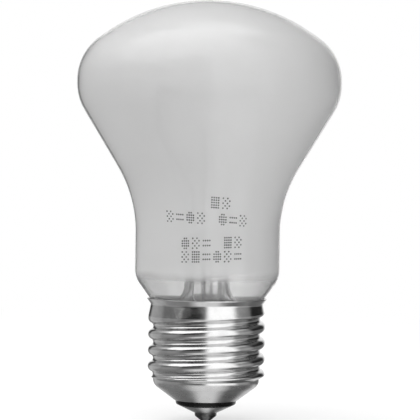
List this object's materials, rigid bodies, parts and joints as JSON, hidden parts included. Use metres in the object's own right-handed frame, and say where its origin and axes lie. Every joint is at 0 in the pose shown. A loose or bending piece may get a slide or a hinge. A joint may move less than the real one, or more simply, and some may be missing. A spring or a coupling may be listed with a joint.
{
  "type": "modelling lamp",
  "caption": "Inside-frosted mushroom incandescent bulb on a screw cap, used as the modelling lamp of a studio flash.",
  "frame": {"origin": "centre of the flat tip of the centre contact's solder, on the lamp's axis", "axes": "+Z along the lamp's axis, from the cap towards the bulb's crown; -Y is the side the picture shows"},
  "size_m": [0.06, 0.06, 0.0959],
  "materials": {
    "frosted_glass": "etched inside, smooth outside, clear in the neck",
    "clear_glass": "polished",
    "black_glass": "glossy",
    "nickel_plate": "bright",
    "contact_metal": "satin",
    "solder": "bright",
    "tungsten": "satin",
    "nickel_wire": "satin",
    "support_metal": "satin",
    "fuse_metal": "satin",
    "copper_wire": "satin",
    "cement": "matte"
  },
  "bodies": {
    "root": {"basing_cement": "cement", "centre_contact": "contact_metal", "centre_solder": "solder", "contact_lead": "copper_wire", "exhaust_tube": "clear_glass", "filament": "tungsten", "filament_support_1": "support_metal", "filament_support_2": "support_metal", "filament_support_3": "support_metal", "flare_tube": "clear_glass", "fuse_sleeve": "clear_glass", "fuse_wire": "fuse_metal", "glass_bulb": "frosted_glass", "inner_lead_left": "nickel_wire", "inner_lead_right": "nickel_wire", "insulator": "black_glass", "outer_lead_centre": "copper_wire", "outer_lead_side": "copper_wire", "screw_shell": "nickel_plate", "seal_wire_left": "copper_wire", "seal_wire_right": "copper_wire", "side_solder": "solder", "support_cane": "clear_glass"}
  },
  "joints": []
}
